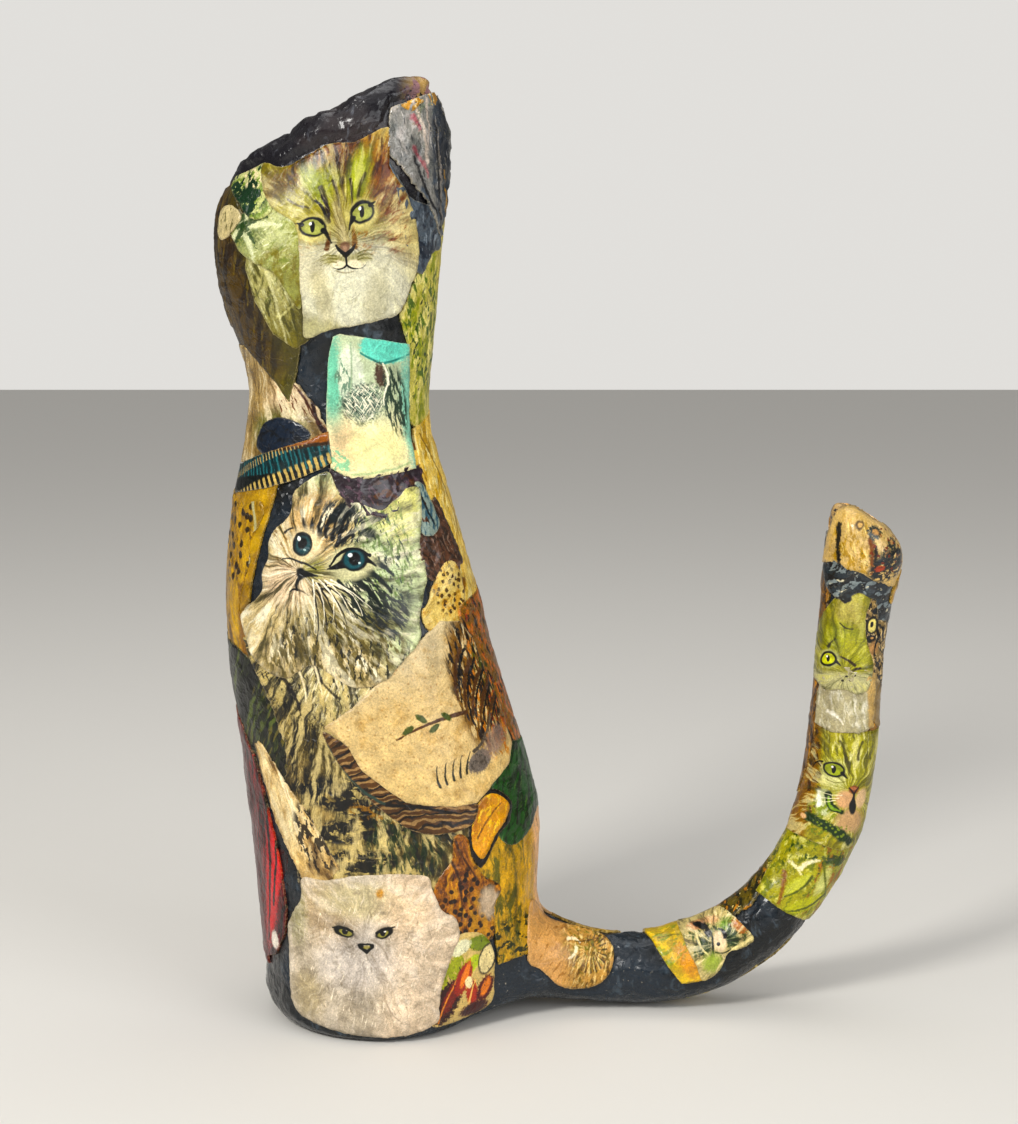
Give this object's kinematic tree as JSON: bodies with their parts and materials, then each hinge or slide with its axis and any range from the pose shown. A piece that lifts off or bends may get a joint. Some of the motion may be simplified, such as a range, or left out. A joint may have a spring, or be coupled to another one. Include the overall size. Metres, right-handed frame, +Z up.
{
  "type": "papier-mache cat",
  "caption": "Seated papier-mache cat with a long neck and an upswept tail, covered in varnished paper cut-outs, standing on its own flat base.",
  "frame": {"origin": "middle of the flat underside of the cat's base, on the surface it stands on", "axes": "+Z up; the cat looks along -X and its tail leaves along +X; -Y is the side that the picture shows"},
  "size_m": [0.2376, 0.0878, 0.3254],
  "materials": {
    "decoupage_paper": "satin varnished printed paper cut-outs over papier-mache"
  },
  "bodies": {
    "root": {"papier_mache_cat": "decoupage_paper"}
  },
  "joints": []
}
